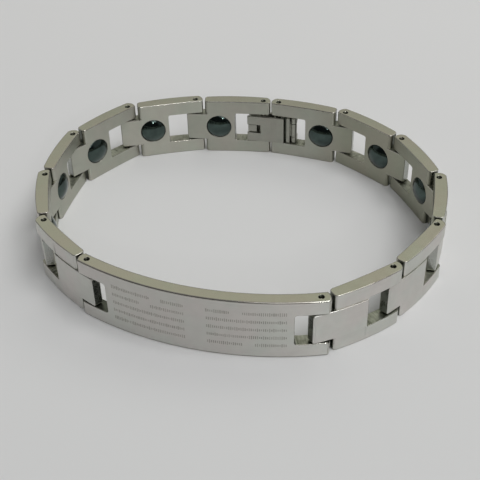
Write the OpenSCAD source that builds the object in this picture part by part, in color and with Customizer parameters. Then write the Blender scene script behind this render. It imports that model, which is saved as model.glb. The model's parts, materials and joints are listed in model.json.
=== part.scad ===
// Stainless steel link bracelet with round magnets, a curved plate and a fold-over clasp.
// It lies on its edge as a closed loop, with the plate in front (-Y) and the clasp behind (+Y).
// Z runs across the band. Every piece is drawn flat in plan and raised along Z.
// In a link's own plan X runs from its tongue pin to its fork pin, and -Y faces out of the loop.

/* [Band] */
// Width of the band, which is its height as it lies
band_w = 12; // [10:0.5:16]
// Width of the slot in every fork
slot_w = 6.4; // [5:0.1:7.5]
// Gap between a tongue and each side of its slot
tongue_gap = 0.2; // [0.1:0.05:0.4]
// Radius of the corners at the bottom of a link's slot
slot_corner_r = 0.3; // [0.1:0.05:0.6]

/* [Links] */
// Distance between the two pins of a link
link_pitch = 14; // [13:0.5:18]
// Outer face of a link at its ends, out from the pins
link_out = 1.2; // [1.05:0.05:1.4]
// Inner face of a link at its ends, in from the pins
link_in = 0.92; // [0.8:0.02:1.1]
// Rise of the outer face in the middle of a link
link_crown = 0.48; // [0.2:0.02:0.8]
// Hollow of the inner face in the middle of a link
link_hollow = 0.19; // [0.1:0.01:0.3]
// How far the middle band stands out from the two rails
band_rise = 0.18; // [0.05:0.01:0.3]
// Radius of the ear ends, about their pin
ear_r = 1.5; // [1.4:0.05:1.7]
// Gap between an ear end and the shoulder of the next link
shoulder_gap = 0.45; // [0.3:0.05:1]
// Rounding of the outer corner of a shoulder
shoulder_r = 0.45; // [0.2:0.05:0.7]
// Reach of a tongue past its pin
tongue_reach = 1.84; // [1.5:0.02:2.2]
// How far the faces of a tongue lie below the faces of the middle band
tongue_step = 0.04; // [0.02:0.01:0.1]
// Depth of a link's slot, from the fork pin to its bottom
link_slot = 5.9; // [4.5:0.1:6.5]

/* [Pins] */
// Diameter of a pin
pin_d = 0.9; // [0.7:0.05:1]
// Running clearance around a pin, on the radius
pin_clearance = 0.05; // [0.03:0.01:0.08]
// How deep the ends of a pin sit below the edge of the band
pin_recess = 0.4; // [0.2:0.05:0.8]

/* [Magnets] */
// Diameter of a magnet
magnet_d = 5; // [4:0.1:5.4]
// Thickness of a magnet's rim
magnet_t = 1; // [0.6:0.05:1.2]
// Height of the dome above the rim
magnet_dome = 0.8; // [0.2:0.05:1]
// Gap around a magnet in its seat and under it
magnet_gap = 0.07; // [0.03:0.01:0.12]
// Distance from a link's tongue pin to the middle of its magnet
magnet_at = 4.75; // [4.4:0.05:5.5]

/* [Plate] */
// Distance between the two pins of the plate
plate_len = 39.4; // [34:0.2:46]
// Thickness of the plate
plate_t = 2.3; // [2:0.1:2.6]
// Radius of the curve through the middle of the plate
plate_bend_r = 57; // [48:1:80]
// Depth of the plate's slots, from the pin to the bottom
plate_slot = 4.3; // [3.4:0.1:6]
// Radius of the corners at the bottom of the plate's slots
plate_corner_r = 0.5; // [0.1:0.05:1]
// Radius of the plate's ear ends, about their pin
plate_ear_r = 1.75; // [1.4:0.05:1.75]

/* [Clasp] */
// Gap between the two ear ends that meet over the clasp
clasp_gap = 0.2; // [0.15:0.05:0.5]
// Gap between the clasp and each side of the slots that it lies in
clasp_side_gap = 0.3; // [0.25:0.05:0.5]
// How far the clasp has sunk in its slots, as the band lies on its edge
clasp_drop = 0.2; // [0:0.05:0.2]
// Thickness of the base, which is flush with the outer face of the links
base_t = 0.6; // [0.5:0.05:0.65]
// Distance from the left pin to the free end of the base
base_reach = 3.15; // [3.1:0.05:3.6]
// Wall around the pins in the base
base_wall = 0.35; // [0.3:0.05:0.45]
// Metal left between a pin's bore and the leaf
bore_wall = 0.15; // [0.1:0.01:0.2]
// Thickness of the leaf
leaf_t = 0.45; // [0.35:0.05:0.6]
// Gap between the closed leaf and the base
leaf_gap = 0.08; // [0.05:0.01:0.15]
// Distance from the left pin to the free end of the leaf
leaf_reach = 3.2; // [3:0.02:3.22]
// Distance from the right pin to the fold of the leaf
leaf_fold = 1.24; // [1.15:0.01:1.3]
// Distance from the right pin to the hinge of the leaf
hinge_at = 3.2; // [3.1:0.05:3.6]
// Outer diameter of the hinge barrel
barrel_d = 1.3; // [1.1:0.05:1.4]
// Diameter of the hinge pin
hinge_pin_d = 0.6; // [0.4:0.05:0.7]
// Width of the middle knuckle, which belongs to the leaf
leaf_knuckle_w = 3; // [2:0.1:3.6]
// Gap between the knuckles of the hinge
knuckle_gap = 0.1; // [0.05:0.01:0.15]
// Length of the notch in the free end of the leaf
notch_len = 2.8; // [2.6:0.02:2.9]
// Width of the notch in the free end of the leaf
notch_w = 1.9; // [1.5:0.1:2.5]
// Length of the catch tab that stands in the notch
tab_len = 1.8; // [1.4:0.05:2]
// Gap between the catch tab and each side of the notch
tab_gap = 0.15; // [0.1:0.01:0.2]

/* [Lay] */
// Turn of the loop at each pin in degrees, from the plate's right pin round past the clasp
lay_turns = [45, 21, 28, 32, 24, 26, 7, 7, 15, 35, 31, 22, 31, 36];

/* [Hidden] */
$fn = 96;
links_a_side = 6;
mid_z = band_w / 2;
over = 1;
tuck = 0.2;
tongue_w = slot_w - 2 * tongue_gap;
shoulder = ear_r + shoulder_gap;
pin_hole_r = pin_d / 2 + pin_clearance;
clasp_span = 2 * ear_r + clasp_gap;

// The loop is a ring of straight runs from pin to pin: the plate, six links, the clasp, six links.
// A run's heading is the sum of the turns before it. Small turns added to all of them close the ring.
run_lengths = concat(
    [plate_len],
    [for (i = [1 : links_a_side]) link_pitch],
    [clasp_span],
    [for (i = [1 : links_a_side]) link_pitch]
);
runs = len(run_lengths);
ring_len = total(run_lengths);
clasp_run = links_a_side + 1;

function total(v, i = 0) = i < len(v) ? v[i] + total(v, i + 1) : 0;
function first_headings() = [for (i = [0 : runs - 1]) i == 0 ? 0 : total([for (k = [0 : i - 1]) lay_turns[k]])];
function run_vector(h, i) = run_lengths[i] * [cos(h[i]), sin(h[i])];
function ring_error(h) = [
    total([for (i = [0 : runs - 1]) run_vector(h, i).x]),
    total([for (i = [0 : runs - 1]) run_vector(h, i).y])
];
function nudge(h, e) = [
    for (a = h) a + (2 / ring_len) * (e.x * sin(a) - e.y * cos(a)) * 180 / PI
];
function closed(h, rounds) = rounds == 0 ? h : closed(nudge(h, ring_error(h)), rounds - 1);
ring = closed(first_headings(), 24);
headings = [for (a = ring) a - ring[0]];
function pin_from_start(i) = i == 0 ? [0, 0] : pin_from_start(i - 1) + run_vector(headings, i - 1);

// The loop is centred on the box around its outer faces.
function out_of(i) = [sin(headings[i]), -cos(headings[i])];
function run_middle(i) = (pin_from_start(i) + pin_from_start((i + 1) % runs)) / 2;
plate_sag = plate_bend_r - sqrt(pow(plate_bend_r, 2) - pow(plate_len / 2, 2));
link_belly = link_out + link_crown + band_rise;
function belly(i) = i == 0 ? plate_sag + plate_t / 2 : i == clasp_run ? link_out : link_belly;
bellies = [for (i = [0 : runs - 1]) run_middle(i) + belly(i) * out_of(i)];
ends = [for (i = [0 : runs - 1]) for (side = [i, (i + runs - 1) % runs]) pin_from_start(i) + link_out * out_of(side)];
edge_points = concat(bellies, ends);
loop_centre = [
    (min([for (p = edge_points) p.x]) + max([for (p = edge_points) p.x])) / 2,
    (min([for (p = edge_points) p.y]) + max([for (p = edge_points) p.y])) / 2
];
pins = [for (i = [0 : runs - 1]) pin_from_start(i) - loop_centre];

// A link's faces are arcs between its shoulder and the end of its ears.
link_end = link_pitch + ear_r;
link_mid = (shoulder + link_end) / 2;
link_half = (link_end - shoulder) / 2;
function arc_r(half, rise) = (half * half + rise * rise) / (2 * rise);
crown_r = arc_r(link_half, link_crown);
hollow_r = arc_r(link_half, link_hollow);
crown_y = crown_r - link_out - link_crown;
hollow_y = hollow_r + link_in - link_hollow;
slot_bottom = link_pitch - link_slot;
tongue_in = link_in - tongue_step;
function inner_face(x) = hollow_y - sqrt(hollow_r * hollow_r - pow(x - link_mid, 2));

// The clasp is drawn about the middle of its two pins, with X to the right pin and +Y out.
pin_left = -clasp_span / 2;
pin_right = clasp_span / 2;
clasp_w = slot_w - 2 * clasp_side_gap;
hinge_x = pin_right + hinge_at;
barrel_r = barrel_d / 2;
hinge_hole_r = hinge_pin_d / 2 + pin_clearance;
base_in = pin_hole_r + bore_wall;
leaf_out = base_in + leaf_gap;
leaf_left = pin_left - leaf_reach;
leaf_right = pin_right + leaf_fold;
base_left = pin_left - base_reach;
saddle = pin_hole_r + base_wall;
strap_in = leaf_out + 0.05;
strap_out = 0.05;
strap_left = pin_right + saddle + 0.1;
strap_right = hinge_x - barrel_r - knuckle_gap;
fold_groove = 0.45;
groove_depth = 0.48;
neck_in = 0.4;
clasp_z = mid_z - clasp_drop;

function names(stem, count) = [for (i = [1 : count]) str(stem, i)];

// Places what is drawn in a right-hand link's plan: the run starts at its tongue pin.
module on_right_link(i) {
    translate([pins[i].x, pins[i].y, 0])
    rotate(headings[i])
    children();
}

// Places what is drawn in a left-hand link's plan: the run ends at its tongue pin.
module on_left_link(i) {
    run = runs - i;
    tongue_pin = pins[(run + 1) % runs];
    translate([tongue_pin.x, tongue_pin.y, 0])
    rotate(headings[run])
    mirror([1, 0, 0])
    children();
}

module on_clasp() {
    middle = (pins[clasp_run] + pins[clasp_run + 1]) / 2;
    translate([middle.x, middle.y, 0])
    rotate(headings[clasp_run] - 180)
    children();
}

// A stretch of link in plan between two places along it, its outer face raised by rise.
module link_stretch(from, to, rise) {
    difference() {
        intersection() {
            translate([from, -link_belly - over])
            square([to - from, link_belly + over + link_in]);
            translate([link_mid, crown_y])
            circle(crown_r + rise, $fn = 360);
        }
        translate([link_mid, hollow_y])
        circle(hollow_r, $fn = 360);
    }
}

// Rounds the outer corner of the shoulder, tangent to it and to the outer face.
module shoulder_corner() {
    cx = shoulder + shoulder_r;
    cy = crown_y - sqrt(pow(crown_r - shoulder_r, 2) - pow(link_mid - cx, 2));
    away = ([cx, cy] - [link_mid, crown_y]) / (crown_r - shoulder_r);
    difference() {
        polygon([
            [cx, cy],
            [cx, cy] + 2 * shoulder_r * away,
            [shoulder - over, cy - 2 * shoulder_r],
            [shoulder - over, cy]
        ]);
        translate([cx, cy])
        circle(shoulder_r);
    }
}

// The two rails: the full width of the band, with ear ends rounded about the fork pin.
module rails_plan() {
    difference() {
        intersection() {
            link_stretch(shoulder, link_end, 0);
            union() {
                translate([0, -link_belly - over])
                square([link_pitch, 2 * (link_belly + over)]);
                translate([link_pitch, 0])
                circle(ear_r);
            }
        }
        shoulder_corner();
    }
}

// The tongue's outer face goes on along the crown of the band, and its inner face is straight.
// Its root is tucked a little into the body.
module tongue_plan() {
    intersection() {
        translate([-tongue_reach, -link_belly - over])
        square([tongue_reach + shoulder + tuck, link_belly + over + tongue_in]);
        translate([link_mid, crown_y])
        circle(crown_r + band_rise - tongue_step, $fn = 360);
    }
}

// A slot seen from outside, its bottom at X = 0 with rounded corners, opening towards +X.
module slot_shape(len, r) {
    translate([r, -slot_w / 2])
    square([len - r, slot_w]);
    translate([0, r - slot_w / 2])
    square([len, slot_w - 2 * r]);
    for (side = [-1, 1])
        translate([r, side * (slot_w / 2 - r)])
        circle(r, $fn = 32);
}

module slot_cut(len, r) {
    reach = 4 * link_belly;
    translate([0, reach / 2, mid_z])
    rotate([90, 0, 0])
    linear_extrude(reach)
    slot_shape(len, r);
}

module link() {
    color([0.72, 0.71, 0.68])
    difference() {
        union() {
            linear_extrude(band_w)
            rails_plan();
            translate([0, 0, mid_z - tongue_w / 2])
            linear_extrude(tongue_w) {
                link_stretch(shoulder, slot_bottom, band_rise);
                tongue_plan();
            }
        }
        translate([slot_bottom, 0, 0])
        slot_cut(link_slot + ear_r + over, slot_corner_r);
        for (x = [0, link_pitch])
            translate([x, 0, -over])
            cylinder(h = band_w + 2 * over, r = pin_hole_r);
        magnet_seat();
    }
}

// The seat is a blind round hole in the inner face, as deep as the magnet's rim and its gap.
module magnet_seat() {
    floor_y = inner_face(magnet_at) - magnet_t - magnet_gap;
    translate([magnet_at, floor_y, mid_z])
    rotate([-90, 0, 0])
    cylinder(h = magnet_t + over, r = magnet_d / 2 + magnet_gap);
}

// A round disc with a domed face, lying in its seat with the dome towards the wrist.
module magnet() {
    dome_r = arc_r(magnet_d / 2, magnet_dome);
    whole_t = magnet_t + magnet_dome;
    color([0.16, 0.2, 0.19])
    translate([magnet_at, inner_face(magnet_at) - magnet_t, mid_z])
    rotate([-90, 0, 0])
    intersection() {
        cylinder(h = whole_t + over, d = magnet_d);
        translate([0, 0, whole_t - dome_r])
        sphere(dome_r);
    }
}

module pin(i) {
    color([0.6, 0.6, 0.58])
    translate([pins[i].x, pins[i].y, pin_recess])
    cylinder(h = band_w - 2 * pin_recess, d = pin_d);
}

// The plate is a ring sector between its two pins, with an ear end about each of them.
module plate_plan() {
    drop = plate_bend_r - plate_sag;
    intersection() {
        difference() {
            translate([0, drop])
            circle(plate_bend_r + plate_t / 2, $fn = 360);
            translate([0, drop])
            circle(plate_bend_r - plate_t / 2, $fn = 360);
        }
        union() {
            polygon([[0, drop], [-plate_len, -drop], [plate_len, -drop]]);
            for (side = [-1, 1])
                translate([side * plate_len / 2, 0])
                circle(plate_ear_r);
        }
    }
}

module id_plate() {
    lean = asin(plate_len / 2 / plate_bend_r);
    middle = (pins[0] + pins[1]) / 2;
    color([0.74, 0.72, 0.7])
    translate([middle.x, middle.y, 0])
    difference() {
        linear_extrude(band_w)
        plate_plan();
        for (side = [0, 1])
            mirror([side, 0, 0])
            translate([plate_len / 2, 0, 0])
            rotate(lean)
            translate([-plate_slot, 0, 0])
            slot_cut(plate_slot + plate_ear_r + over, plate_corner_r);
        for (side = [-1, 1])
            translate([side * plate_len / 2, 0, -over])
            cylinder(h = band_w + 2 * over, r = pin_hole_r);
    }
}

// Plan of the base: a plate on the outside, a knuckle on the left pin and a saddle for the right.
module base_plan() {
    plate_in = link_out - base_t;
    translate([base_left, plate_in])
    square([hinge_x - base_left, base_t]);
    intersection() {
        union() {
            translate([pin_left, 0])
            circle(saddle);
            translate([pin_left - saddle, 0])
            square([2 * saddle, plate_in + base_t / 2]);
        }
        translate([pin_left - saddle, -base_in])
        square([2 * saddle, base_in + link_out]);
    }
    translate([pin_right - saddle, -base_in])
    square([2 * saddle, base_in + plate_in + base_t / 2]);
}

// One outer knuckle of the hinge with the end of the base that carries it.
module base_knuckle() {
    linear_extrude((clasp_w - leaf_knuckle_w) / 2 - knuckle_gap)
    union() {
        translate([hinge_x, 0])
        circle(barrel_r);
        translate([hinge_x - barrel_r, 0])
        square([barrel_d, link_out]);
    }
}

module clasp_base() {
    low_z = clasp_z - clasp_w / 2;
    middle_w = leaf_knuckle_w + 2 * knuckle_gap;
    tab_left = leaf_left + tab_gap;
    tab_w = notch_w - 2 * tab_gap;
    color([0.66, 0.66, 0.63])
    on_clasp()
    difference() {
        union() {
            translate([0, 0, low_z])
            linear_extrude(clasp_w)
            base_plan();
            for (up = [0, 1])
                translate([0, 0, up == 0 ? low_z : clasp_z + middle_w / 2])
                base_knuckle();
            translate([tab_left, -leaf_out - leaf_t / 2, clasp_z - tab_w / 2])
            cube([tab_len, leaf_out + leaf_t / 2 + link_out - base_t / 2, tab_w]);
        }
        // The leaf's knuckle turns in this gap.
        translate([hinge_x - barrel_r - knuckle_gap, -over, clasp_z - middle_w / 2])
        cube([barrel_d + over, 2 * over + link_out, middle_w]);
        translate([pin_left, 0, 0])
        cylinder(h = band_w, r = pin_hole_r);
        translate([pin_right, 0, 0])
        cylinder(h = band_w, r = pin_hole_r);
        // The saddle is open towards the wrist.
        translate([pin_right - pin_hole_r, -over - base_in, 0])
        cube([2 * pin_hole_r, over + base_in, band_w]);
        translate([hinge_x, 0, 0])
        cylinder(h = band_w, r = hinge_hole_r);
    }
}

// Plan of the leaf: the plate over both pins, a grooved fold and the strap down to the barrel.
module leaf_plan() {
    translate([leaf_left, -leaf_out - leaf_t])
    square([leaf_right - leaf_left, leaf_t]);
    difference() {
        translate([strap_left, -strap_in])
        square([strap_right - strap_left, strap_in - strap_out]);
        translate([leaf_right, -strap_in - over])
        square([fold_groove, over + groove_depth]);
    }
}

module clasp_leaf() {
    low_z = clasp_z - clasp_w / 2;
    color([0.58, 0.58, 0.55])
    on_clasp()
    difference() {
        union() {
            translate([0, 0, low_z])
            linear_extrude(clasp_w)
            leaf_plan();
            translate([0, 0, clasp_z - leaf_knuckle_w / 2])
            linear_extrude(leaf_knuckle_w)
            union() {
                translate([hinge_x, 0])
                circle(barrel_r);
                translate([strap_right - tuck, -neck_in])
                square([hinge_x - strap_right + tuck, neck_in - strap_out]);
            }
        }
        translate([leaf_left - over, -leaf_out - leaf_t - over, clasp_z - notch_w / 2])
        cube([notch_len + over, leaf_t + 2 * over, notch_w]);
        translate([hinge_x, 0, 0])
        cylinder(h = band_w, r = hinge_hole_r);
    }
}

module clasp_hinge_pin() {
    inset = 0.2;
    color([0.5, 0.5, 0.48])
    on_clasp()
    translate([hinge_x, 0, clasp_z - clasp_w / 2 + inset])
    cylinder(h = clasp_w - 2 * inset, d = hinge_pin_d);
}

id_plate();
for (i = [1 : links_a_side]) {
    on_right_link(i) link();
    on_left_link(i) link();
    on_right_link(i) magnet();
    on_left_link(i) magnet();
    pin(i + 1);
    pin(runs - i);
}
pin(1);  // pin_plate_right
pin(0);  // pin_plate_left
clasp_base();
clasp_leaf();
clasp_hinge_pin();
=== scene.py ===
import bpy
import bmesh
import json
import math
from mathutils import Matrix, Vector

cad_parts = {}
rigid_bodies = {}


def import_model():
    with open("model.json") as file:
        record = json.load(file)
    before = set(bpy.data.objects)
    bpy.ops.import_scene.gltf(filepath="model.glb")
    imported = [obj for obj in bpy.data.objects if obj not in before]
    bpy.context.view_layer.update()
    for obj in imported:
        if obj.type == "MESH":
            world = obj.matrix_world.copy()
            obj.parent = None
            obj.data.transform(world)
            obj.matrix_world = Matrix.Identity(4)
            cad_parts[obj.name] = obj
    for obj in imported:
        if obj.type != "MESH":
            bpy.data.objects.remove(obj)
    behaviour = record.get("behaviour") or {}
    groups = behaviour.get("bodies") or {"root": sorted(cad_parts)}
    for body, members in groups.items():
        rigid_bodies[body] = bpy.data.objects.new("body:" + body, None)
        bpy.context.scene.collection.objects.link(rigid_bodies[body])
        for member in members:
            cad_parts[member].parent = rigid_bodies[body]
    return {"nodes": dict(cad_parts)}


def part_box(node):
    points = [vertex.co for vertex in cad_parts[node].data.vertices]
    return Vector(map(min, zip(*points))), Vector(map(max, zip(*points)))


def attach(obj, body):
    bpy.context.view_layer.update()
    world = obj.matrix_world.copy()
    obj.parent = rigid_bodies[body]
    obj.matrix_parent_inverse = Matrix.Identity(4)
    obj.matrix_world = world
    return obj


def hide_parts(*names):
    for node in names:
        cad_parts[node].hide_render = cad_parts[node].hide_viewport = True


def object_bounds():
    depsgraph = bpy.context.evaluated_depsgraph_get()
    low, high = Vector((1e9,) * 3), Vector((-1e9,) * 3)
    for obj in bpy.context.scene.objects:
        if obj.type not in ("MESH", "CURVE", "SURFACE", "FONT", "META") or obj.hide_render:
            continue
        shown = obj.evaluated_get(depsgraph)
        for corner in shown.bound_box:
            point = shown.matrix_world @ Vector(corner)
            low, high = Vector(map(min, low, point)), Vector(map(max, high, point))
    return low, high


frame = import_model()
cadLow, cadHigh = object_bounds()

# Lengths are written in millimetres, as a maker does, and mm turns them into metres.
mm = 0.001
weld = 1e-4         # points nearer than this are one
cutReach = 9        # how far a cutter reaches past the pins, to both sides
linksPerSide = 6
bandWidth = (cadHigh.z - cadLow.z) / mm
bandMiddle = bandWidth / 2

for spare in [o for o in bpy.data.objects if o.type in {"CAMERA", "LIGHT"} or o.name == "Cube"]:
    bpy.data.objects.remove(spare)


# Places, read from the frame. Every pin stands at the middle of its node's box.

def pinAt(name):
    low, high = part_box(name)
    return ((low + high) / (2 * mm)).xy


def pinName(side, number):
    return f"pin_{side}_{number}" if number else f"pin_plate_{side}"


def runPlace(start, end, origin):
    # A frame at origin whose X runs from start towards end, and whose Z stays up.
    run = end - start
    turn = Matrix.Rotation(math.atan2(run.y, run.x), 4, "Z")
    return Matrix.Translation((origin.x, origin.y, 0)) @ turn


def platePlace():
    left = pinAt("pin_plate_left")
    right = pinAt("pin_plate_right")
    return runPlace(left, right, (left + right) / 2)


# Shapes in plan

def arc(centre, start, end, steps, turn=1):
    # Points from start to end round a centre; turn is 1 for anticlockwise and -1 for clockwise.
    first = start - centre
    last = end - centre
    begin = math.atan2(first.y, first.x)
    sweep = ((math.atan2(last.y, last.x) - begin) * turn) % (2 * math.pi) * turn
    angles = [begin + sweep * i / steps for i in range(steps + 1)]
    return [centre + first.length * Vector((math.cos(a), math.sin(a))) for a in angles]


def crossings(a, radiusA, b, radiusB):
    # The two points where two circles cross.
    gap = b - a
    along = (gap.length_squared + radiusA ** 2 - radiusB ** 2) / (2 * gap.length)
    off = math.sqrt(radiusA ** 2 - along ** 2)
    way = gap.normalized()
    side = Vector((-way.y, way.x))
    return [a + way * along + side * off * s for s in (-1, 1)]


def below(centre, radius, x):
    # The point of a circle that lies under its centre at a given X.
    return Vector((x, centre.y - math.sqrt(radius ** 2 - (x - centre.x) ** 2)))


def arcRadius(half, rise):
    return (half ** 2 + rise ** 2) / (2 * rise)


def rounded(before, corner, after, r, steps=5):
    # The arc that rounds a corner of an outline; the outline runs anticlockwise and turns left here.
    back = (before - corner).normalized()
    on = (after - corner).normalized()
    half = back.angle(on) / 2
    centre = corner + (back + on).normalized() * r / math.sin(half)
    reach = r / math.tan(half)
    return arc(centre, corner + back * reach, corner + on * reach, steps)


def ring(radius, steps):
    return [Vector((radius * math.cos(a), radius * math.sin(a)))
            for a in (2 * math.pi * i / steps for i in range(steps))]


# Meshes

def prism(outline, low, high, along="Z"):
    # A closed solid from low to high along Z, or along Y with the outline in X and Z.
    bm = bmesh.new()
    lift = (lambda p, h: (p.x, p.y, h)) if along == "Z" else (lambda p, h: (p.x, h, p.y))
    lower = [bm.verts.new(lift(p, low)) for p in outline]
    upper = [bm.verts.new(lift(p, high)) for p in outline]
    bm.faces.new(lower)
    bm.faces.new(upper)
    for i, vert in enumerate(lower):
        j = (i + 1) % len(lower)
        bm.faces.new((vert, lower[j], upper[j], upper[i]))
    bmesh.ops.recalc_face_normals(bm, faces=bm.faces)
    return toMesh(bm, "prism")


def lathe(profile, steps, name):
    # A solid of revolution about Z from (radius, height) points; it starts and ends on the axis.
    bm = bmesh.new()
    rings = []
    for radius, height in profile[1:-1]:
        rings.append([bm.verts.new((p.x, p.y, height)) for p in ring(radius, steps)])
    ends = [bm.verts.new((0, 0, profile[i][1])) for i in (0, -1)]
    for i in range(steps):
        j = (i + 1) % steps
        bm.faces.new((ends[0], rings[0][j], rings[0][i]))
        bm.faces.new((ends[1], rings[-1][i], rings[-1][j]))
        for lower, upper in zip(rings, rings[1:]):
            bm.faces.new((lower[i], lower[j], upper[j], upper[i]))
    bmesh.ops.recalc_face_normals(bm, faces=bm.faces)
    for face in bm.faces:
        face.smooth = True
    return toMesh(bm, name)


def toMesh(bm, name):
    mesh = bpy.data.meshes.new(name)
    bm.to_mesh(mesh)
    bm.free()
    return mesh


def meshObject(name, mesh):
    made = bpy.data.objects.new(name, mesh)
    bpy.context.scene.collection.objects.link(made)
    return made


def settled(worker, helpers=()):
    # The worker's mesh with its modifiers applied. The worker and its helpers go.
    bpy.context.view_layer.update()
    graph = bpy.context.evaluated_depsgraph_get()
    mesh = bpy.data.meshes.new_from_object(worker.evaluated_get(graph))
    for spent in (worker, *helpers):
        bpy.data.objects.remove(spent)
    return mesh


def carve(mesh, tools):
    # Each tool is an operation and a mesh.
    worker = meshObject("worker", mesh)
    helpers = []
    for operation, tool in tools:
        helpers.append(meshObject("helper", tool))
        cut = worker.modifiers.new("cut", "BOOLEAN")
        cut.operation = operation
        cut.solver = "EXACT"
        cut.object = helpers[-1]
    return settled(worker, helpers)


def soften(mesh, width, weigh, sharp=30, flat=0.05, segments=3):
    # Rounds the edges that turn outwards by more than sharp degrees, by width times what weigh(edge)
    # gives. Faces within flat degrees are joined first. The roundings get material 1, the rest 0.
    bm = bmesh.new()
    bm.from_mesh(mesh)
    bmesh.ops.remove_doubles(bm, verts=bm.verts, dist=weld)
    bmesh.ops.dissolve_limit(bm, angle_limit=math.radians(flat), verts=bm.verts, edges=bm.edges)
    weight = bm.edges.layers.float.new("bevel_weight_edge")
    for edge in bm.edges:
        angle = math.degrees(edge.calc_face_angle_signed(0))
        edge.smooth = angle > -sharp
        if angle > sharp:
            edge[weight] = weigh(edge)
    for face in bm.faces:
        face.smooth = True
    worker = meshObject("worker", toMesh(bm, mesh.name))
    for material in (satinSteel, rimPaintedReflectionSteel):
        worker.data.materials.append(material)
    bevel = worker.modifiers.new("bevel", "BEVEL")
    bevel.material = 1
    bevel.limit_method = "WEIGHT"
    bevel.width = width
    bevel.segments = segments
    bevel.use_clamp_overlap = False
    shade = worker.modifiers.new("shade", "WEIGHTED_NORMAL")
    shade.keep_sharp = True
    return settled(worker)


def finishFaces(mesh, sortFace, sortRim=lambda face: rimPaintedReflectionFinish):
    # Stores the number of each face's finish: sortRim gives it for a rounding, sortFace elsewhere.
    stored = mesh.attributes.new("finish", "INT", "FACE")
    for face in mesh.polygons:
        sort = sortRim if face.material_index else sortFace
        stored.data[face.index].value = sort(face)
    mesh.materials.clear()


def wearFinishes(mesh, materials):
    # Gives each face the material that its finish numbers.
    for material in materials:
        mesh.materials.append(material)
    finishes = mesh.attributes["finish"]
    for face in mesh.polygons:
        face.material_index = finishes.data[face.index].value


def brushAlong(mesh, place):
    # Stores each point's place along, through and across the band, for the brushed pattern.
    stored = mesh.attributes.new("brushPlace", "FLOAT_VECTOR", "POINT")
    for vert in mesh.vertices:
        stored.data[vert.index].vector = place(vert.co)


def put(name, mesh, place, nodes, body="band"):
    # Places a mesh made in millimetres and lets it stand for its CAD nodes.
    mesh.transform(Matrix.Scale(mm, 4) @ place)
    made = meshObject(name, mesh)
    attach(made, body)
    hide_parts(*nodes)


# Node trees

def newTree(name, sockets):
    # A geometry tree with its named inputs; returns the tree and its group input.
    tree = bpy.data.node_groups.new(name, "GeometryNodeTree")
    tree.interface.new_socket("Geometry", in_out="OUTPUT", socket_type="NodeSocketGeometry")
    tree.interface.new_socket("Geometry", in_out="INPUT", socket_type="NodeSocketGeometry")
    for label, kind in sockets.items():
        tree.interface.new_socket(label, in_out="INPUT", socket_type=f"NodeSocket{kind}")
    return tree, tree.nodes.new("NodeGroupInput")


def fill(tree, node, inputs):
    # Each input gets a socket to link to or a plain value.
    for key, value in inputs.items():
        if isinstance(value, bpy.types.NodeSocket):
            tree.links.new(value, node.inputs[key])
        else:
            node.inputs[key].default_value = value


def step(tree, kind, inputs=None, **settings):
    # A node with its settings and inputs.
    made = tree.nodes.new(kind)
    for key, value in settings.items():
        setattr(made, key, value)
    fill(tree, made, inputs or {})
    return made


def reckon(tree, operation, *values):
    # A number worked out from sockets and plain values.
    return step(tree, "ShaderNodeMath", dict(enumerate(values)), operation=operation).outputs[0]


def attribute(tree, name, kind):
    made = step(tree, "GeometryNodeInputNamedAttribute", {"Name": name}, data_type=kind)
    return made.outputs["Attribute"]


def finished(tree, geometry, materials):
    # Makes instances real and gives each face the material that its finish names.
    geometry = step(tree, "GeometryNodeRealizeInstances", {"Geometry": geometry}).outputs[0]
    for i, material in enumerate(materials):
        chosen = step(tree, "FunctionNodeCompare", {2: attribute(tree, "finish", "INT"), 3: i},
                      data_type="INT", operation="EQUAL").outputs[0]
        inputs = {"Geometry": geometry, "Selection": chosen, "Material": material}
        geometry = step(tree, "GeometryNodeSetMaterial", inputs).outputs[0]
    output = tree.nodes.new("NodeGroupOutput")
    tree.links.new(geometry, output.inputs[0])


def grown(mesh, tree, values):
    # Runs a tree on a mesh and returns the plain mesh that comes out.
    worker = meshObject("worker", mesh)
    nodes = worker.modifiers.new("nodes", "NODES")
    nodes.node_group = tree
    for item in tree.interface.items_tree:
        if item.in_out == "INPUT" and item.name in values:
            nodes[item.identifier] = values[item.name]
    helpers = [value for value in values.values() if isinstance(value, bpy.types.Object)]
    return settled(worker, helpers)


brushStep = 23.7    # shift of the brushed pattern from one copy to the next


def laidOut(name, piece, places, materials):
    # Copies of a piece at (x, y), turned over about X or not, and then turned about Z.
    tree, given = newTree(name, {"Piece": "Object", "Brush Step": "Float"})
    source = step(tree, "GeometryNodeObjectInfo", {"Object": given.outputs["Piece"]})
    copies = step(tree, "GeometryNodeInstanceOnPoints", {
        "Points": given.outputs["Geometry"],
        "Instance": source.outputs["Geometry"],
        "Rotation": attribute(tree, "turning", "FLOAT_VECTOR"),
    })
    real = step(tree, "GeometryNodeRealizeInstances", {"Geometry": copies.outputs[0]})
    shift = reckon(tree, "MULTIPLY", attribute(tree, "number", "FLOAT"), given.outputs["Brush Step"])
    along = step(tree, "ShaderNodeCombineXYZ", {"X": shift})
    place = attribute(tree, "brushPlace", "FLOAT_VECTOR")
    brushed = step(tree, "ShaderNodeVectorMath", {0: place, 1: along.outputs[0]})
    kept = step(tree, "GeometryNodeStoreNamedAttribute", {
        "Geometry": real.outputs[0],
        "Name": "brushPlace",
        "Value": brushed.outputs[0],
    }, data_type="FLOAT_VECTOR", domain="POINT")
    finished(tree, kept.outputs[0], materials)
    points = bpy.data.meshes.new(name)
    points.from_pydata([(at.x, at.y, bandMiddle) for at, over, turn in places], [], [])
    turning = points.attributes.new("turning", "FLOAT_VECTOR", "POINT")
    for i, (at, over, turn) in enumerate(places):
        turning.data[i].vector = (math.pi if over else 0, 0, turn)
    numbers = points.attributes.new("number", "FLOAT", "POINT")
    for i in range(len(places)):
        numbers.data[i].value = i + 1
    return grown(points, tree, {"Piece": meshObject("piece", piece), "Brush Step": brushStep})


# Materials

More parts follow.
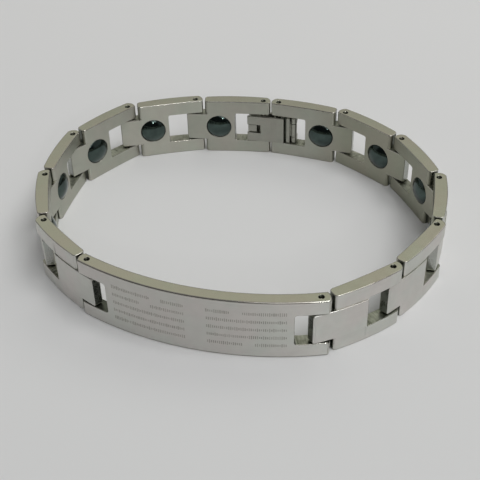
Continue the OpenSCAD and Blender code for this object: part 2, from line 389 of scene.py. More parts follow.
def newMaterial(name):
    material = bpy.data.materials.new(name)
    material.use_nodes = True
    tree = material.node_tree
    tree.nodes.clear()
    shader = step(tree, "ShaderNodeBsdfPrincipled")
    step(tree, "ShaderNodeOutputMaterial", {"Surface": shader.outputs["BSDF"]})
    return material, tree, shader


def noise(tree, vector, scale, stretch=(1, 1, 1), detail=2):
    # Noise on a stretched copy of a vector.
    mapping = step(tree, "ShaderNodeMapping", {"Vector": vector, "Scale": stretch})
    inputs = {"Vector": mapping.outputs["Vector"], "Scale": scale, "Detail": detail}
    return step(tree, "ShaderNodeTexNoise", inputs).outputs["Fac"]


def spread(tree, value, low, high, fromLow=0.3, fromHigh=0.7):
    # Maps the useful part of a noise to a range.
    inputs = {"Value": value, "From Min": fromLow, "From Max": fromHigh, "To Min": low, "To Max": high}
    return step(tree, "ShaderNodeMapRange", inputs).outputs["Result"]


def fade(tree, value, start, end):
    # Rises from 0 to 1 while the value goes from start to end.
    return spread(tree, value, 0, 1, start, end)


def blend(tree, factor, first, second, way="MIX"):
    # Two colours mixed, or multiplied; each comes from a socket or is plain values.
    first, second = (c if isinstance(c, bpy.types.NodeSocket) else (*c, 1) for c in (first, second))
    inputs = {"Factor": factor, "A": first, "B": second}
    return step(tree, "ShaderNodeMix", inputs, data_type="RGBA", blend_type=way).outputs["Result"]


def coordinate(tree, kind, axis):
    # One part of a point's place on the object, or of a direction in the sky.
    place = step(tree, "ShaderNodeTexCoord").outputs[kind]
    return step(tree, "ShaderNodeSeparateXYZ", {"Vector": place}).outputs[axis]


def brushedSteel(name, look):
    material, tree, shader = newMaterial(name)
    vector = step(tree, "ShaderNodeAttribute", attribute_name="brushPlace").outputs["Vector"]
    grain = noise(tree, vector, look["grain"], look["grainStretch"], 3)
    clouds = noise(tree, vector, look["clouds"], detail=4)
    tone = reckon(tree, "MULTIPLY_ADD", grain, look["grainShare"], clouds)
    colour = blend(tree, fade(tree, tone, *look["tones"]), look["dark"], look["light"])
    drift = fade(tree, noise(tree, vector, look["drift"]), *look["drifts"])
    colour = blend(tree, 1, colour, blend(tree, drift, look["warm"], look["cool"]), "MULTIPLY")
    # Painted shade: a look with a shade tint is darkened by it between two places along X of the object.
    if "shade" in look:
        share = fade(tree, coordinate(tree, "Object", "X"), *look["shadeAlong"])
        colour = blend(tree, 1, colour, blend(tree, share, (1, 1, 1), look["shade"]), "MULTIPLY")
    bump = step(tree, "ShaderNodeBump", {
        "Strength": look["bump"],
        "Distance": look["grainDepth"] * mm,
        "Height": grain,
    })
    around = step(tree, "ShaderNodeTangent", direction_type="RADIAL", axis="Z")
    fill(tree, shader, {
        "Base Color": colour,
        "Roughness": spread(tree, tone, *look["roughness"], *look["tones"]),
        "Metallic": 1,
        "Anisotropic": look["anisotropy"],
        "Anisotropic Rotation": 0.25,   # a quarter turn
        "Tangent": around.outputs["Tangent"],
        "Normal": bump.outputs["Normal"],
    })
    return material


# Brushed along the band: on the faces the lines are fine across Z, on the edges across Y.
satinLook = {
    "dark": (0.67, 0.665, 0.64),
    "light": (0.72, 0.715, 0.69),
    "roughness": (0.38, 0.43),
    "grain": 1.0,
    "grainStretch": (0.25, 4, 14),
    "grainShare": 0.5,
    "clouds": 0.5,
    "tones": (0.55, 0.95),          # the useful part of clouds and grain together
    "drift": 0.16,                  # a slow change between a warm and a cool tint
    "drifts": (0.35, 0.65),
    "warm": (1.0, 0.965, 0.955),
    "cool": (0.965, 0.985, 0.955),
    "anisotropy": 0.8,
    "bump": 0.2,
    "grainDepth": 0.003,
}
# Painted shade: the inner faces are the same steel as the satin faces, painted darker and greener to stand
# for the dimmer reflections they catch inside the loop.
innerPaintedShadeLook = {
    **satinLook,
    "dark": (0.50, 0.505, 0.45),
    "light": (0.545, 0.55, 0.49),
    # Painted shade: the inner faces darken further between two places along X, on the right-hand links.
    "shade": (0.82, 0.82, 0.76),    # a tint that sets in between two places along X, in metres
    "shadeAlong": (0.008, 0.015),
}
# Painted reflection: the top and bottom faces at the band's edges are the same steel, painted darker and
# olive to stand for the olive wall behind that they reflect; their smoother finish, brushed across, is their
# own.
edgePaintedReflectionLook = {
    **satinLook,
    "dark": (0.56, 0.555, 0.47),
    "light": (0.60, 0.595, 0.505),
    "roughness": (0.20, 0.26),
    "grainStretch": (0.3, 16, 4),
    "anisotropy": 0.2,
}
# Painted shade: the cut faces in the pin holes, magnet seats, slot bottoms, the plate's slots and the
# clasp's fold groove are painted nearly black to stand for the shade in these recesses; their rough grain is
# their own.
cutPaintedShadeLook = {
    **satinLook,
    "dark": (0.09, 0.10, 0.085),
    "light": (0.16, 0.17, 0.145),
    "roughness": (0.25, 0.40),
    "grainStretch": (6, 0.6, 6),
    "anisotropy": 0.0,
    "bump": 0.6,
}
milledLook = {
    **satinLook,
    "dark": (0.17, 0.18, 0.145),
    "light": (0.56, 0.57, 0.50),
    "roughness": (0.25, 0.40),
    "grain": 0.7,
    "grainStretch": (5, 1, 5),
    "anisotropy": 0.0,
    "bump": 0.8,
}
# Painted shade: the tongues' end faces, which stand in the neighbours' slots, are painted darker to stand
# for the shade there.
endPaintedShadeLook = {
    **satinLook,
    "dark": (0.36, 0.37, 0.35),
    "light": (0.46, 0.47, 0.45),
    "roughness": (0.22, 0.32),
    "grainStretch": (6, 6, 0.6),
    "anisotropy": 0.0,
}
# Painted reflection: the rounded edges are polished, and painted darker than the faces so that they show as
# dark reflected lines.
rimPaintedReflectionLook = {
    **satinLook,
    "dark": (0.42, 0.41, 0.375),
    "light": (0.52, 0.51, 0.47),
    "roughness": (0.08, 0.14),
    "anisotropy": 0.0,
    "bump": 0.1,
}
# Painted shade: the clasp is painted darker than the satin faces to stand for the dimmer light at the back
# right of the loop.
claspPaintedShadeLook = {
    **satinLook,
    "dark": (0.38, 0.385, 0.345),
    "light": (0.43, 0.435, 0.39),
    "grainStretch": (0.4, 5, 10),
    "anisotropy": 0.6,
}
markLook = {
    **satinLook,
    "dark": (0.35, 0.34, 0.31),
    "light": (0.50, 0.48, 0.45),
    "roughness": (0.4, 0.5),
    "anisotropy": 0.0,
}
pinLook = {
    **satinLook,
    "dark": (0.52, 0.51, 0.47),
    "light": (0.66, 0.65, 0.60),
    "roughness": (0.14, 0.20),
    "grain": 3.0,
    "grainStretch": (1, 1, 1),
    "anisotropy": 0.0,
}
satinSteel = brushedSteel("satin_steel", satinLook)
innerPaintedShadeSteel = brushedSteel("inner_steel", innerPaintedShadeLook)
edgePaintedReflectionSteel = brushedSteel("edge_painted_reflection_steel", edgePaintedReflectionLook)
cutPaintedShadeSteel = brushedSteel("cut_steel", cutPaintedShadeLook)
milledSteel = brushedSteel("milled_steel", milledLook)
endPaintedShadeSteel = brushedSteel("end_steel", endPaintedShadeLook)
rimPaintedReflectionSteel = brushedSteel("rim_painted_reflection_steel", rimPaintedReflectionLook)
claspPaintedShadeSteel = brushedSteel("clasp_steel", claspPaintedShadeLook)
markSteel = brushedSteel("mark_steel", markLook)
pinSteel = brushedSteel("pin_steel", pinLook)

# The finishes of a piece's faces, numbered as in this list. Several carry painted shade or painted
# reflection, as said at each look.
steelSet = [satinSteel, innerPaintedShadeSteel, edgePaintedReflectionSteel, cutPaintedShadeSteel, milledSteel, endPaintedShadeSteel, rimPaintedReflectionSteel]
outerFinish, innerPaintedShadeFinish, edgePaintedReflectionFinish, cutPaintedShadeFinish, milledFinish, endPaintedShadeFinish, rimPaintedReflectionFinish = range(len(steelSet))

magnetLook = {
    "dark": (0.034, 0.053, 0.048),
    "light": (0.062, 0.094, 0.084),
    "roughness": (0.06, 0.13),
    "clouds": 700,
    "coat": 0.5,
    "coatRoughness": 0.05,
}


def polishedMagnet(name, look):
    material, tree, shader = newMaterial(name)
    place = step(tree, "ShaderNodeTexCoord").outputs["Object"]
    clouds = noise(tree, place, look["clouds"], detail=4)
    low, high = look["roughness"]
    fill(tree, shader, {
        "Base Color": blend(tree, spread(tree, clouds, 0, 1), look["dark"], look["light"]),
        "Roughness": spread(tree, clouds, high, low),
        "Metallic": 1,
        "Coat Weight": look["coat"],
        "Coat Roughness": look["coatRoughness"],
    })
    return material


magnetBlack = polishedMagnet("magnet_black", magnetLook)
print("materials made")


# One link

link = {
    "out": 1.2,             # outer face from the pins, at the ends
    "crown": 0.48,          # rise of the outer face in the middle
    "in": 0.92,             # inner face from the pins, at the ends
    "hollow": 0.19,         # hollow of the inner face in the middle
    "rise": 0.18,           # middle band above the rails
    "ear": 1.5,
    "shoulder": 1.95,
    "shoulderRound": 0.65,
    "tongueReach": 1.84,
    "tongueRound": 0.12,    # rounding of the edges of the tongue's end
    "tongueCorner": 0.35,   # rounding of the tongue's corners, seen from the wrist
    "tongueWidth": 6.0,
    "slotWidth": 6.4,
    "slotDepth": 5.9,       # from the fork pin to the bottom
    "slotRound": 0.35,
    "mouthRound": 0.2,      # rounding of the ears' corners at the mouth of the slot
    "hole": 0.5,
    "magnetAt": 4.75,
    "magnetRadius": 2.5,
    "magnetRim": 1.0,
    "magnetDome": 0.8,
    "magnetGap": 0.07,
    "edgeRound": 0.14,
    "holeShare": 0.35,      # rounding at the holes and the magnet's seat, as a share of edgeRound
    "slotShare": 0.5,       # the same at the slot and the raised band
}
linkPitch = (pinAt("pin_right_1") - pinAt("pin_plate_right")).length
linkEnd = linkPitch + link["ear"]
linkMiddle = (link["shoulder"] + linkEnd) / 2
linkHalf = (linkEnd - link["shoulder"]) / 2
crownRadius = arcRadius(linkHalf, link["crown"])
crownCentre = Vector((linkMiddle, crownRadius - link["out"] - link["crown"]))
hollowRadius = arcRadius(linkHalf, link["hollow"])
hollowCentre = Vector((linkMiddle, hollowRadius + link["in"] - link["hollow"]))
forkPin = Vector((linkPitch, 0))
slotBottom = linkPitch - link["slotDepth"]


def shoulderInside():
    # Where the inner face meets the rounding of the shoulder's inner corner.
    r = link["shoulderRound"]
    centre = below(hollowCentre, hollowRadius + r, link["shoulder"] + r)
    return centre, centre + (hollowCentre - centre).normalized() * r


def railsOutline():
    # The full width of the link: shoulder, outer face, ear end and inner face.
    r = link["shoulderRound"]
    corner = below(crownCentre, crownRadius - r, link["shoulder"] + r)
    tangent = crownCentre + (corner - crownCentre).normalized() * crownRadius
    outerEnd = max(crossings(crownCentre, crownRadius, forkPin, link["ear"]), key=lambda p: p.x)
    innerEnd = max(crossings(hollowCentre, hollowRadius, forkPin, link["ear"]), key=lambda p: p.x)
    inside, innerTangent = shoulderInside()
    points = arc(corner, corner - Vector((r, 0)), tangent, 6)
    points += arc(crownCentre, tangent, outerEnd, 26)[1:]
    points += arc(forkPin, outerEnd, innerEnd, 18)[1:]
    points += arc(hollowCentre, innerEnd, innerTangent, 16, -1)[1:]
    points += arc(inside, innerTangent, inside - Vector((r, 0)), 6)[1:]
    return points


def bandOutline():
    # The tongue and the raised middle band. Past the shoulder its inner side hides in the link.
    inside = shoulderInside()[1]
    bandRadius = crownRadius + link["rise"]
    reach = link["tongueReach"]
    end = below(crownCentre, bandRadius, slotBottom + 0.5)      # in the slot, which cuts it off
    inner = Vector((-reach, inside.y))
    outer = below(crownCentre, bandRadius, -reach)
    onward = below(crownCentre, bandRadius, 0.4 - reach)        # where the long arc starts
    points = rounded(inside, inner, outer, link["tongueRound"])
    points += rounded(inner, outer, onward, link["tongueRound"])
    points += arc(crownCentre, onward, end, 18)
    points.append(Vector((end.x, 0)))
    points.append(Vector((inside.x + 0.3, 0)))
    points.append(inside)
    return points


def slotOutline(mouth, r):
    # A slot in X and Z from its bottom to its mouth, with rounded corners at both.
    low = bandMiddle - link["slotWidth"] / 2
    high = bandMiddle + link["slotWidth"] / 2
    flare = link["mouthRound"]
    start = mouth - flare
    points = arc(Vector((r, high - r)), Vector((r, high)), Vector((0, high - r)), 5)
    points += arc(Vector((r, low + r)), Vector((0, low + r)), Vector((r, low)), 5)
    lower = Vector((start, low - flare))
    upper = Vector((start, high + flare))
    points += arc(lower, Vector((start, low)), Vector((mouth, lower.y)), 5, -1)
    points += [Vector((mouth + 1, lower.y)), Vector((mouth + 1, upper.y))]
    points += arc(upper, Vector((mouth, upper.y)), Vector((start, high)), 5, -1)
    return points


def moved(points, step):
    return [p + Vector(step) for p in points]


def tongueCorner(side):
    # The cutter that rounds one corner of the tongue's end.
    r = link["tongueCorner"]
    end = -link["tongueReach"]
    half = link["tongueWidth"] / 2
    centre = Vector((end + r, side * (half - r)))
    points = arc(centre, centre + Vector((0, side * r)), centre - Vector((r, 0)), 5, side)
    beyond = side * (half + 1)
    points += [Vector((end - 1, centre.y)), Vector((end - 1, beyond)), Vector((end + r, beyond))]
    return prism(moved(points, (0, bandMiddle)), -cutReach, cutReach, "Y")


def pinHole(at):
    return prism(moved(ring(link["hole"], 40), at), -1, bandWidth + 1)


def magnetSeat():
    top = below(hollowCentre, hollowRadius, link["magnetAt"]).y
    bottom = top - link["magnetRim"] - link["magnetGap"]
    radius = link["magnetRadius"] + link["magnetGap"]
    return prism(moved(ring(radius, 72), (link["magnetAt"], bandMiddle)), bottom, top + 1, "Y")


def fromEdge(z):
    # How far a height lies inside the nearer edge of the band.
    return min(z, bandWidth - z)


def nearHole(point, holes, slack):
    # Whether a point lies in one of the pin holes at these places along X, or within slack of it.
    return any(math.hypot(point.x - hole, point.y) < link["hole"] + slack for hole in holes)


def nearSeat(point, slack):
    return math.hypot(point.x - link["magnetAt"], point.z - bandMiddle) < link["magnetRadius"] + slack


def linkEdgeWeight(edge):
    middle = (edge.verts[0].co + edge.verts[1].co) / 2
    if nearHole(middle, (0, linkPitch), 0.05) or nearSeat(middle, 0.2):
        return link["holeShare"]
    onOutline = fromEdge(middle.z) < 0.01 or middle.x < link["shoulder"] + 0.01
    return 1 if onOutline else link["slotShare"]


def linkFace(face):
    # Which of the finishes in steelSet a face has.
    middle = face.center
    if abs(face.normal.z) > 0.75:
        return edgePaintedReflectionFinish if fromEdge(middle.z) < 0.5 else milledFinish
    if nearHole(middle, (0, linkPitch), 0.02):
        return cutPaintedShadeFinish
    if nearSeat(middle, 0.1) and -0.6 < middle.y < 0.65:    # the seat's wall and bottom
        return cutPaintedShadeFinish
    if abs(face.normal.x) > 0.93 and middle.x < linkPitch:
        return endPaintedShadeFinish if middle.x < 0 else cutPaintedShadeFinish
    return innerPaintedShadeFinish if face.normal.y > 0 else outerFinish


def linkRimPaintedGlint(face):
    # Painted highlight: the outer rounded edges of the raised band get the bright outer finish, standing for
    # a glint along them; the other roundings get the rim finish.
    off = abs(abs(face.center.z - bandMiddle) - link["tongueWidth"] / 2)
    return outerFinish if off < 0.15 and face.center.y < 0 else rimPaintedReflectionFinish


def makeLink():
    earEnd = linkPitch + math.sqrt(link["ear"] ** 2 - link["in"] ** 2)
    slot = moved(slotOutline(earEnd - slotBottom, link["slotRound"]), (slotBottom, 0))
    half = link["tongueWidth"] / 2
    band = prism(bandOutline(), bandMiddle - half, bandMiddle + half)
    mesh = carve(prism(railsOutline(), 0, bandWidth), [
        ("UNION", carve(band, [("DIFFERENCE", tongueCorner(side)) for side in (-1, 1)])),
        ("DIFFERENCE", prism(slot, -cutReach, cutReach, "Y")),
        ("DIFFERENCE", pinHole((0, 0))),
        ("DIFFERENCE", pinHole(forkPin)),
        ("DIFFERENCE", magnetSeat()),
    ])
    mesh = soften(mesh, link["edgeRound"], linkEdgeWeight)
    finishFaces(mesh, linkFace, linkRimPaintedGlint)
    return mesh


oneLink = makeLink()
print("link made:", len(oneLink.polygons), "faces")


# A domed magnet, its rim level with the inner face of the link

def makeMagnet():
    radius = link["magnetRadius"]
    rim = link["magnetRim"]
    domeRadius = arcRadius(radius, link["magnetDome"])
    centre = Vector((0, rim + link["magnetDome"] - domeRadius))
    shoulder = Vector((radius - 0.03, rim + 0.01))
    dome = arc(centre, shoulder, Vector((0, rim + link["magnetDome"])), 14)
    # A small chamfer at the bottom, and a finer one between the rim and the dome
    profile = [(0, 0), (radius - 0.05, 0), (radius, 0.05), (radius, rim - 0.03)]
    profile += [(p.x, p.y) for p in dome[:-1]]
    profile.append((0, rim + link["magnetDome"]))
    mesh = lathe(profile, 72, "magnet")
    top = below(hollowCentre, hollowRadius, link["magnetAt"]).y
    seat = Matrix.Translation((link["magnetAt"], top - rim, bandMiddle))
    mesh.transform(seat @ Matrix.Rotation(-math.pi / 2, 4, "X"))
    finishFaces(mesh, lambda face: 0)
    return mesh


oneMagnet = makeMagnet()

linkPlaces = []
linkNames = []
for side in ("right", "left"):
    for i in range(1, linksPerSide + 1):
        tongue = pinAt(pinName(side, i - 1))
        run = pinAt(pinName(side, i)) - tongue
        linkPlaces.append((tongue, side == "left", math.atan2(run.y, run.x)))
        linkNames.append(f"{side}_{i}")


def putLaidOut(name, piece, places, materials, nodes):
    # A piece drawn with its lower edge at Z = 0 is laid out about the middle of the band.
    piece.transform(Matrix.Translation((0, 0, -bandMiddle)))
    brushAlong(piece, lambda co: co)
    put(name, laidOut(name, piece, places, materials), Matrix(), nodes)


linkNodes = [f"link_{name}" for name in linkNames]
magnetNodes = [f"magnet_{name}" for name in linkNames]
putLaidOut("satin_links", oneLink, linkPlaces, steelSet, linkNodes)
putLaidOut("domed_magnets", oneMagnet, linkPlaces, [magnetBlack], magnetNodes)
print("links and magnets laid out")


# The plate

plate = {
    "bend": 57.0,
    "thick": 2.3,
    "ear": 1.67,
    "slotDepth": 4.3,
    "slotRound": 0.5,
    "edgeRound": 0.26,
    "holeShare": 0.2,       # rounding at the holes, as a share of edgeRound
    "slotShare": 0.35,      # the same at the slots
}
plateHalf = (pinAt("pin_plate_right") - pinAt("pin_plate_left")).length / 2
plateCentre = Vector((0, math.sqrt(plate["bend"] ** 2 - plateHalf ** 2)))
plateOuter = plate["bend"] + plate["thick"] / 2
plateInner = plate["bend"] - plate["thick"] / 2
plateLean = math.asin(plateHalf / plate["bend"])


def plateOutline():
    right = Vector((plateHalf, 0))
    left = Vector((-plateHalf, 0))
    rightOut = max(crossings(plateCentre, plateOuter, right, plate["ear"]), key=lambda p: p.x)
    rightIn = max(crossings(plateCentre, plateInner, right, plate["ear"]), key=lambda p: p.x)
    leftOut = Vector((-rightOut.x, rightOut.y))
    leftIn = Vector((-rightIn.x, rightIn.y))
    points = arc(plateCentre, leftOut, rightOut, 72)
    points += arc(right, rightOut, rightIn, 16)[1:]
    points += arc(plateCentre, rightIn, leftIn, 72, -1)[1:]
    points += arc(left, leftIn, leftOut, 16)[1:-1]
    return points


def plateSlot(side):
    # The cutter for one end, along the tangent at that end's pin.
    earEnd = math.sqrt(plate["ear"] ** 2 - (plate["thick"] / 2) ** 2)
    outline = slotOutline(plate["slotDepth"] + earEnd, plate["slotRound"])
    mesh = prism(moved(outline, (-plate["slotDepth"], 0)), -cutReach, cutReach, "Y")
    turn = plateLean if side > 0 else math.pi - plateLean
    mesh.transform(Matrix.Translation((side * plateHalf, 0, 0)) @ Matrix.Rotation(turn, 4, "Z"))
    return mesh


def plateEdgeWeight(edge):
    middle = (edge.verts[0].co + edge.verts[1].co) / 2
    if nearHole(middle, (-plateHalf, plateHalf), 0.05):
        return plate["holeShare"]
    return 1 if fromEdge(middle.z) < 0.01 else plate["slotShare"]


def plateFace(face):
    middle = face.center
    if abs(face.normal.z) > 0.75:
        # Painted shade: the floor of the left slot gets the nearly black cut finish, and the right one the
        # milled finish.
        inSlot = milledFinish if middle.x > 0 else cutPaintedShadeFinish
        return edgePaintedReflectionFinish if fromEdge(middle.z) < 0.5 else inSlot
    if nearHole(middle, (-plateHalf, plateHalf), 0.02):
        return cutPaintedShadeFinish
    facing = face.normal.xy.dot((middle.xy - plateCentre).normalized())
    if abs(facing) < 0.5 and abs(middle.z - bandMiddle) < link["slotWidth"] / 2:
        return cutPaintedShadeFinish
    return outerFinish if facing > 0 else innerPaintedShadeFinish


def alongPlate(co):
    out = Vector((co.x, co.y)) - plateCentre
    return Vector((math.atan2(out.x, -out.y) * plate["bend"], out.length - plateInner, co.z))


def makePlate():
    holes = [("DIFFERENCE", pinHole((side * plateHalf, 0))) for side in (-1, 1)]
    slots = [("DIFFERENCE", plateSlot(side)) for side in (-1, 1)]
    mesh = carve(prism(plateOutline(), 0, bandWidth), slots + holes)
    mesh = soften(mesh, plate["edgeRound"], plateEdgeWeight)
    finishFaces(mesh, plateFace)
    wearFinishes(mesh, steelSet)
    brushAlong(mesh, alongPlate)
    return mesh


put("satin_plate", makePlate(), platePlace(), ["id_plate"])

# Two blocks of fine uneven ticks on the plate's outer face
marks = {
    "Radius": plateOuter - 0.01,    # the ticks' middles lie just under the face
    "Length": 29.6,
    "Height": 6.8,
    "Columns": 91,
    "Rows": 5,
    "Gap": 3.4,             # between the two blocks
    "Group": (1.9, 100, 0.9),   # size of the groups of ticks, along X, Y and Z
    "Blank": 0.06,          # share of the groups left out
    "Tick": (0.12, 0.05, 0.55),
    "Least": (1, 1, 0.7),   # scale of the smallest tick, and what chance adds to it
    "Growth": (0.7, 0, 0.7),
}
markCentre = (0.1, 6.1)     # along the plate from its middle, and up from the lower edge


def makeMarks(sizes, material):
    # A grid bent round the plate's axis carries a tick on every point outside the gap, save in a share of
    # groups left blank.
    tree, given = newTree("plate_marks", {
        "Radius": "Float",
        "Length": "Float",
        "Height": "Float",
        "Columns": "Int",
        "Rows": "Int",
        "Gap": "Float",
        "Group": "Vector",
        "Blank": "Float",
        "Tick": "Vector",
        "Least": "Vector",
        "Growth": "Vector",
    })
    size = given.outputs
    grid = step(tree, "GeometryNodeMeshGrid", {
        "Size X": size["Length"],
        "Size Y": size["Height"],
        "Vertices X": size["Columns"],
        "Vertices Y": size["Rows"],
    })
    at = step(tree, "GeometryNodeInputPosition").outputs[0]
    flat = step(tree, "ShaderNodeSeparateXYZ", {0: at}).outputs
    angle = reckon(tree, "DIVIDE", flat["X"], size["Radius"])
    outward = reckon(tree, "MULTIPLY", size["Radius"], -1.0)
    straight = step(tree, "ShaderNodeCombineXYZ", {"Y": outward, "Z": flat["Y"]}).outputs[0]
    bent = step(tree, "ShaderNodeVectorRotate", {"Vector": straight, "Angle": angle}, rotation_type="Z_AXIS")
    inputs = {"Geometry": grid.outputs[0], "Position": bent.outputs[0]}
    curved = step(tree, "GeometryNodeSetPosition", inputs)
    turned = reckon(tree, "ARCTAN2", flat["X"], reckon(tree, "MULTIPLY", flat["Y"], -1.0))
    aside = reckon(tree, "ABSOLUTE", flat["X"])
    outside = reckon(tree, "GREATER_THAN", aside, reckon(tree, "DIVIDE", size["Gap"], 2.0))
    group = step(tree, "ShaderNodeVectorMath", {0: at, 1: size["Group"]}, operation="SNAP").outputs[0]
    chance = step(tree, "ShaderNodeTexWhiteNoise", {"Vector": group}, noise_dimensions="3D")
    filled = reckon(tree, "GREATER_THAN", chance.outputs["Value"], size["Blank"])
    kept = reckon(tree, "MULTIPLY", outside, filled)
    uneven = step(tree, "ShaderNodeTexWhiteNoise", {"Vector": at}, noise_dimensions="3D").outputs["Color"]
    inputs = {0: uneven, 1: size["Growth"], 2: size["Least"]}
    scale = step(tree, "ShaderNodeVectorMath", inputs, operation="MULTIPLY_ADD")
    tick = step(tree, "GeometryNodeMeshCube", {"Size": size["Tick"]})
    copies = step(tree, "GeometryNodeInstanceOnPoints", {
        "Points": curved.outputs[0],
        "Selection": kept,
        "Instance": tick.outputs[0],
        "Rotation": step(tree, "ShaderNodeCombineXYZ", {"Z": turned}).outputs[0],
        "Scale": scale.outputs[0],
    })
    finished(tree, copies.outputs[0], [material])
    return grown(bpy.data.meshes.new("marks"), tree, sizes)


def putMarks():
    mesh = makeMarks(marks, markSteel)
    lean = Matrix.Rotation(markCentre[0] / plate["bend"], 4, "Z")
    mesh.transform(Matrix.Translation((0, plateCentre.y, markCentre[1])) @ lean)
    brushAlong(mesh, alongPlate)
    put("plate_ticks", mesh, platePlace(), ["id_plate"])


putMarks()
print("plate made")


# Through pins and the clasp's hinge pin, with softly domed ends below the holes' rims

throughPin = {"radius": 0.45, "dome": 0.2}
hinge = {"radius": 0.3, "dome": 0.06}


def makePin(size, length):
    turns = [math.pi * i / 12 for i in range(7)]    # a quarter turn, from the axis to the side
    profile = [(size["radius"] * math.sin(a), size["dome"] * (1 - math.cos(a))) for a in turns]
    profile += [(r, length - h) for r, h in reversed(profile)]
    return lathe(profile, 24, "pin")


def pinLength(node):
    low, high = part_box(node)
    return (high.z - low.z) / mm


pinNames = [pinName(side, i) for side in ("right", "left") for i in range(linksPerSide + 1)]
pinTurn = 0.4       # each pin is turned a little further than the one before it
pinPlaces = [(pinAt(name), False, pinTurn * i) for i, name in enumerate(pinNames)]
onePinLength = pinLength(pinNames[0])
onePin = makePin(throughPin, onePinLength)
onePin.transform(Matrix.Translation((0, 0, (bandWidth - onePinLength) / 2)))
finishFaces(onePin, lambda face: 0)
putLaidOut("through_pins", onePin, pinPlaces, [pinSteel], pinNames)

hingePin = makePin(hinge, pinLength("clasp_hinge_pin"))
brushAlong(hingePin, lambda co: co)
hingePin.materials.append(pinSteel)
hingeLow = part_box("clasp_hinge_pin")[0].z / mm
hingePlace = Matrix.Translation((*pinAt("clasp_hinge_pin"), hingeLow))
put("hinge_pin", hingePin, hingePlace, ["clasp_hinge_pin"])
print("pins placed")


# The clasp is dressed from its CAD nodes: the same shape, with its edges rounded, creases pressed
# into the leaf and its fold groove painted dark as shade

clasp = {
    "edgeRound": 0.07,
    "sharp": 40,
    "leafFace": -1.18,              # the leaf's face towards the wrist
    "creases": (0.24, 0.7, 1.16),   # along the clasp from its middle
    "creaseWidth": 0.24,
    "creaseDepth": 0.075,
    "creaseRise": (2.6, 7.6),
    "groove": (2.79, 3.34),         # the fold groove along the clasp, and where its walls start
    "grooveTop": -0.79,
}
claspLeft = pinAt("pin_left_6")
claspRight = pinAt("pin_right_6")
claspPlace = runPlace(claspLeft, claspRight, (claspLeft + claspRight) / 2)


def merged(mesh):
    bm = bmesh.new()
    bm.from_mesh(mesh)
    bmesh.ops.remove_doubles(bm, verts=bm.verts, dist=weld)
    return toMesh(bm, mesh.name)


def crease(x):
    # The cutter of a fine groove in the leaf, with a V section.
    half = clasp["creaseWidth"] / 2
    outside = clasp["leafFace"] - 0.01
    bottom = clasp["leafFace"] + clasp["creaseDepth"]
    outline = [Vector((x - half, outside)), Vector((x + half, outside)), Vector((x, bottom))]
    return prism(outline, *clasp["creaseRise"])


def claspGroovePaintedShade(face):
    # 1 in the fold groove, which gets painted shade, and 0 elsewhere
    x, y, z = face.center
    low, high = clasp["groove"]
    return int(low < x < high and y > clasp["grooveTop"])


def dressClasp(node, name, body, tools):
    # Copies a CAD node's mesh, joins its loose triangles, cuts it and softens it.
    mesh = frame["nodes"][node].data.copy()
    mesh.materials.clear()
    mesh.transform(claspPlace.inverted() @ Matrix.Scale(1 / mm, 4))
    mesh = carve(merged(mesh), tools)
    mesh = soften(mesh, clasp["edgeRound"], lambda edge: 1, clasp["sharp"], flat=0.5, segments=2)
    finishFaces(mesh, claspGroovePaintedShade, claspGroovePaintedShade)
    wearFinishes(mesh, [claspPaintedShadeSteel, cutPaintedShadeSteel])
    brushAlong(mesh, lambda co: co)
    put(name, mesh, claspPlace, [node], body)


dressClasp("clasp_base", "folded_base", "band", [])
dressClasp("clasp_leaf", "folded_leaf", "leaf", [("DIFFERENCE", crease(x)) for x in clasp["creases"]])
print("clasp dressed")


# Floor, light and camera

floor = {
    "size": 4.0,
    # Painted light: the floor is painted darker at the front and brighter at the back, a gradient of light
    # across it; its clouds are its own uneven tone.
    "near": (0.70, 0.705, 0.71),
    "far": (0.80, 0.80, 0.80),
    "paintedLightSpan": (-0.09, 0.10),         # the tone changes between these places along Y, in metres
    "paintedLightShare": 0.85,
    "clouds": 6,
    "cloudShare": 0.15,
    "roughness": 0.85,
}


def matteFloor(look):
    material, tree, shader = newMaterial("pale_floor")
    clouds = noise(tree, step(tree, "ShaderNodeTexCoord").outputs["Object"], look["clouds"])
    # Painted light: the floor's colour brightens from front to back between two places along Y.
    far = spread(tree, coordinate(tree, "Object", "Y"), 0, look["paintedLightShare"], *look["paintedLightSpan"])
    share = reckon(tree, "MULTIPLY_ADD", clouds, look["cloudShare"], far)
    colour = blend(tree, share, look["near"], look["far"])
    fill(tree, shader, {"Base Color": colour, "Roughness": look["roughness"]})
    return material


def makeFloor(look):
    mesh = bpy.data.meshes.new("floor")
    half = look["size"] / 2
    corners = [(x, y, 0) for x, y in ((-half, -half), (half, -half), (half, half), (-half, half))]
    mesh.from_pydata(corners, [], [(0, 1, 2, 3)])
    mesh.materials.append(matteFloor(look))
    meshObject("floor", mesh)


makeFloor(floor)

# The sky's colours by direction. Each pair of numbers is where a colour starts and where it is full,
# as a part of the direction along one axis.
sky = {
    "room": (0.25, 0.25, 0.25),
    "far": (0.52, 0.52, 0.46),      # a pale wall behind
    "farBack": (0.1, 0.35),
    "farSide": (0.7, 0.5),
    "farBottom": (0.46, 0.52),
    "farTop": (0.96, 0.86),
    "near": (0.04, 0.04, 0.04),     # the dark side in front
    "nearFront": (-0.4, -0.55),
    "nearTop": (0.80, 0.66),
    "strength": 1.0,
}


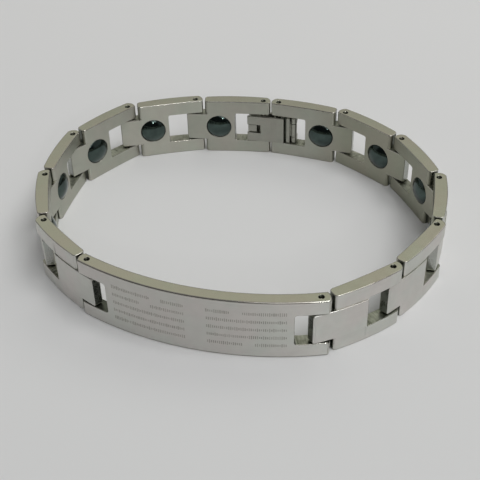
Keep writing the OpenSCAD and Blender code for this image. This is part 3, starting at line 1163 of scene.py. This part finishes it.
def makeSky(look):
    world = bpy.data.worlds.new("soft_sky")
    bpy.context.scene.world = world
    world.use_nodes = True
    tree = world.node_tree
    tree.nodes.clear()
    x, y, z = (coordinate(tree, "Generated", axis) for axis in "XYZ")
    far = fade(tree, y, *look["farBack"])
    far = reckon(tree, "MULTIPLY", far, fade(tree, reckon(tree, "ABSOLUTE", x), *look["farSide"]))
    far = reckon(tree, "MULTIPLY", far, fade(tree, z, *look["farBottom"]))
    far = reckon(tree, "MULTIPLY", far, fade(tree, z, *look["farTop"]))
    near = reckon(tree, "MULTIPLY", fade(tree, y, *look["nearFront"]), fade(tree, z, *look["nearTop"]))
    whole = blend(tree, near, blend(tree, far, look["room"], look["far"]), look["near"])
    glow = step(tree, "ShaderNodeBackground", {"Color": whole, "Strength": look["strength"]})
    step(tree, "ShaderNodeOutputWorld", {"Surface": glow.outputs["Background"]})


makeSky(sky)

# Each lamp shines from a direction (degrees round from +X, degrees up) at the middle of the floor.
lampAway = 2.0
lamps = {
    "top": {"from": (-5, 65), "size": 0.9, "glow": 4.9},
    "front": {"from": (-60, 66), "size": 0.9, "glow": 2.0},
    "side": {"from": (-50, 41), "size": 0.9, "glow": 1.5},
    "back": {"from": (55, 45), "size": 0.9, "glow": 1.0},
    "spark": {"from": (-60, 27), "size": 0.11, "glow": 40.0},
}


def makeLamp(name, look):
    # The glow is the radiance of the lamp's square face.
    light = bpy.data.lights.new(name, "AREA")
    light.shape = "SQUARE"
    light.size = look["size"]
    light.energy = look["glow"] * math.pi * look["size"] ** 2
    lamp = bpy.data.objects.new(name, light)
    bpy.context.scene.collection.objects.link(lamp)
    about, up = (math.radians(angle) for angle in look["from"])
    toward = Vector((math.cos(about) * math.cos(up), math.sin(about) * math.cos(up), math.sin(up)))
    lamp.location = toward * lampAway
    lamp.rotation_euler = (-toward).to_track_quat("-Z", "Y").to_euler()


for name, look in lamps.items():
    makeLamp(name, look)

camera = {
    "at": (38.93, -136.92, 113.74),     # millimetres
    "turn": -15.799,        # degrees from straight ahead, to the right
    "tilt": 38.899,         # degrees down
    "roll": -1.5,
    "lens": 72.213,
    "sensor": 36,
}


def makeCamera(look):
    lens = bpy.data.cameras.new("camera")
    lens.lens = look["lens"]
    lens.sensor_width = look["sensor"]
    lens.clip_start = 0.01
    viewer = bpy.data.objects.new("camera", lens)
    bpy.context.scene.collection.objects.link(viewer)
    turn, tilt, roll = (math.radians(look[key]) for key in ("turn", "tilt", "roll"))
    aim = Matrix.Rotation(-turn, 4, "Z") @ Matrix.Rotation(math.pi / 2 - tilt, 4, "X")
    place = Matrix.Translation(Vector(look["at"]) * mm)
    viewer.matrix_world = place @ aim @ Matrix.Rotation(roll, 4, "Z")
    bpy.context.scene.camera = viewer


makeCamera(camera)
bpy.context.scene.view_settings.view_transform = "Standard"

print("scene ready")
